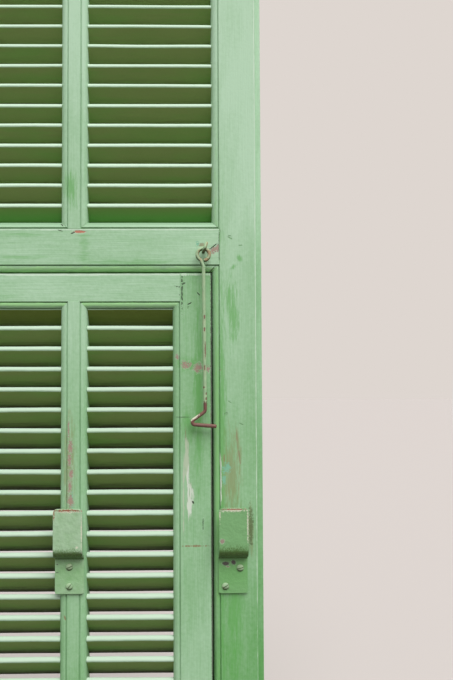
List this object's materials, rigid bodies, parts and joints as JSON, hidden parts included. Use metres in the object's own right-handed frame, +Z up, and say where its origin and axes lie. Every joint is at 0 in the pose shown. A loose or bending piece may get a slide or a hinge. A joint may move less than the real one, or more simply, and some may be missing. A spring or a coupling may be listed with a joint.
{
  "type": "louvred window shutter leaf",
  "caption": "Painted wooden louvred shutter leaf on wall pintles, with a top-hung louvred flap below its lock rail, crossbar brackets and a long hook in a screw eye.",
  "frame": {"origin": "where the lower pintle's shank axis enters the wall face", "axes": "+X along the wall from the hinge side to the leaf's free edge, +Y into the wall, +Z up; the room side of the open leaf faces -Y"},
  "size_m": [0.6361, 0.1721, 1.6777],
  "materials": {
    "painted_pine_frame": "old oil paint, satin",
    "painted_pine_slats": "old oil paint, satin",
    "painted_hinge_iron": "old oil paint, worn",
    "painted_bracket_iron": "old oil paint, chipped",
    "painted_hook_iron": "old oil paint, rust spots",
    "wrought_iron": "bare, forged"
  },
  "bodies": {
    "wall_pintles": {"lower_pintle": "wrought_iron", "middle_pintle": "wrought_iron", "upper_pintle": "wrought_iron"},
    "leaf": {"hinge_stile": "painted_pine_frame", "meeting_stile": "painted_pine_frame", "top_rail": "painted_pine_frame", "lock_rail": "painted_pine_frame", "bottom_rail": "painted_pine_frame", "upper_muntin": "painted_pine_frame", "upper_slats_left": "painted_pine_slats", "upper_slats_right": "painted_pine_slats", "lower_strap_hinge": "painted_hinge_iron", "middle_strap_hinge": "painted_hinge_iron", "upper_strap_hinge": "painted_hinge_iron", "strap_nails": "painted_hinge_iron", "left_butt_frame_leaf": "painted_hinge_iron", "right_butt_frame_leaf": "painted_hinge_iron", "left_butt_pin": "wrought_iron", "right_butt_pin": "wrought_iron", "butt_frame_nails": "painted_hinge_iron", "stile_bracket": "painted_bracket_iron", "stile_bracket_screws": "painted_bracket_iron", "screw_eye": "painted_hook_iron"},
    "flap": {"flap_left_stile": "painted_pine_frame", "flap_right_stile": "painted_pine_frame", "flap_top_rail": "painted_pine_frame", "flap_bottom_rail": "painted_pine_frame", "flap_muntin": "painted_pine_frame", "flap_slats_left": "painted_pine_slats", "flap_slats_right": "painted_pine_slats", "left_butt_flap_leaf": "painted_hinge_iron", "right_butt_flap_leaf": "painted_hinge_iron", "butt_flap_nails": "painted_hinge_iron", "muntin_bracket": "painted_bracket_iron", "muntin_bracket_screws": "painted_bracket_iron"},
    "hook": {"hook": "painted_hook_iron"}
  },
  "joints": [
    {"name": "leaf_swing", "type": "hinge", "parent": "wall_pintles", "child": "leaf", "pos_m": [0, -0.013, 0], "axis": [0, 0, -1], "range_deg": [0, 180]},
    {"name": "flap_swing", "type": "hinge", "parent": "leaf", "child": "flap", "pos_m": [0, -0.01876, 0.88365], "axis": [1, 0, 0], "range_deg": [0, 80]},
    {"name": "hook_swing", "type": "hinge", "parent": "leaf", "child": "hook", "pos_m": [0.52994, -0.08106, 0.91395], "axis": [0, 1, 0], "range_deg": [-75, 75]}
  ]
}
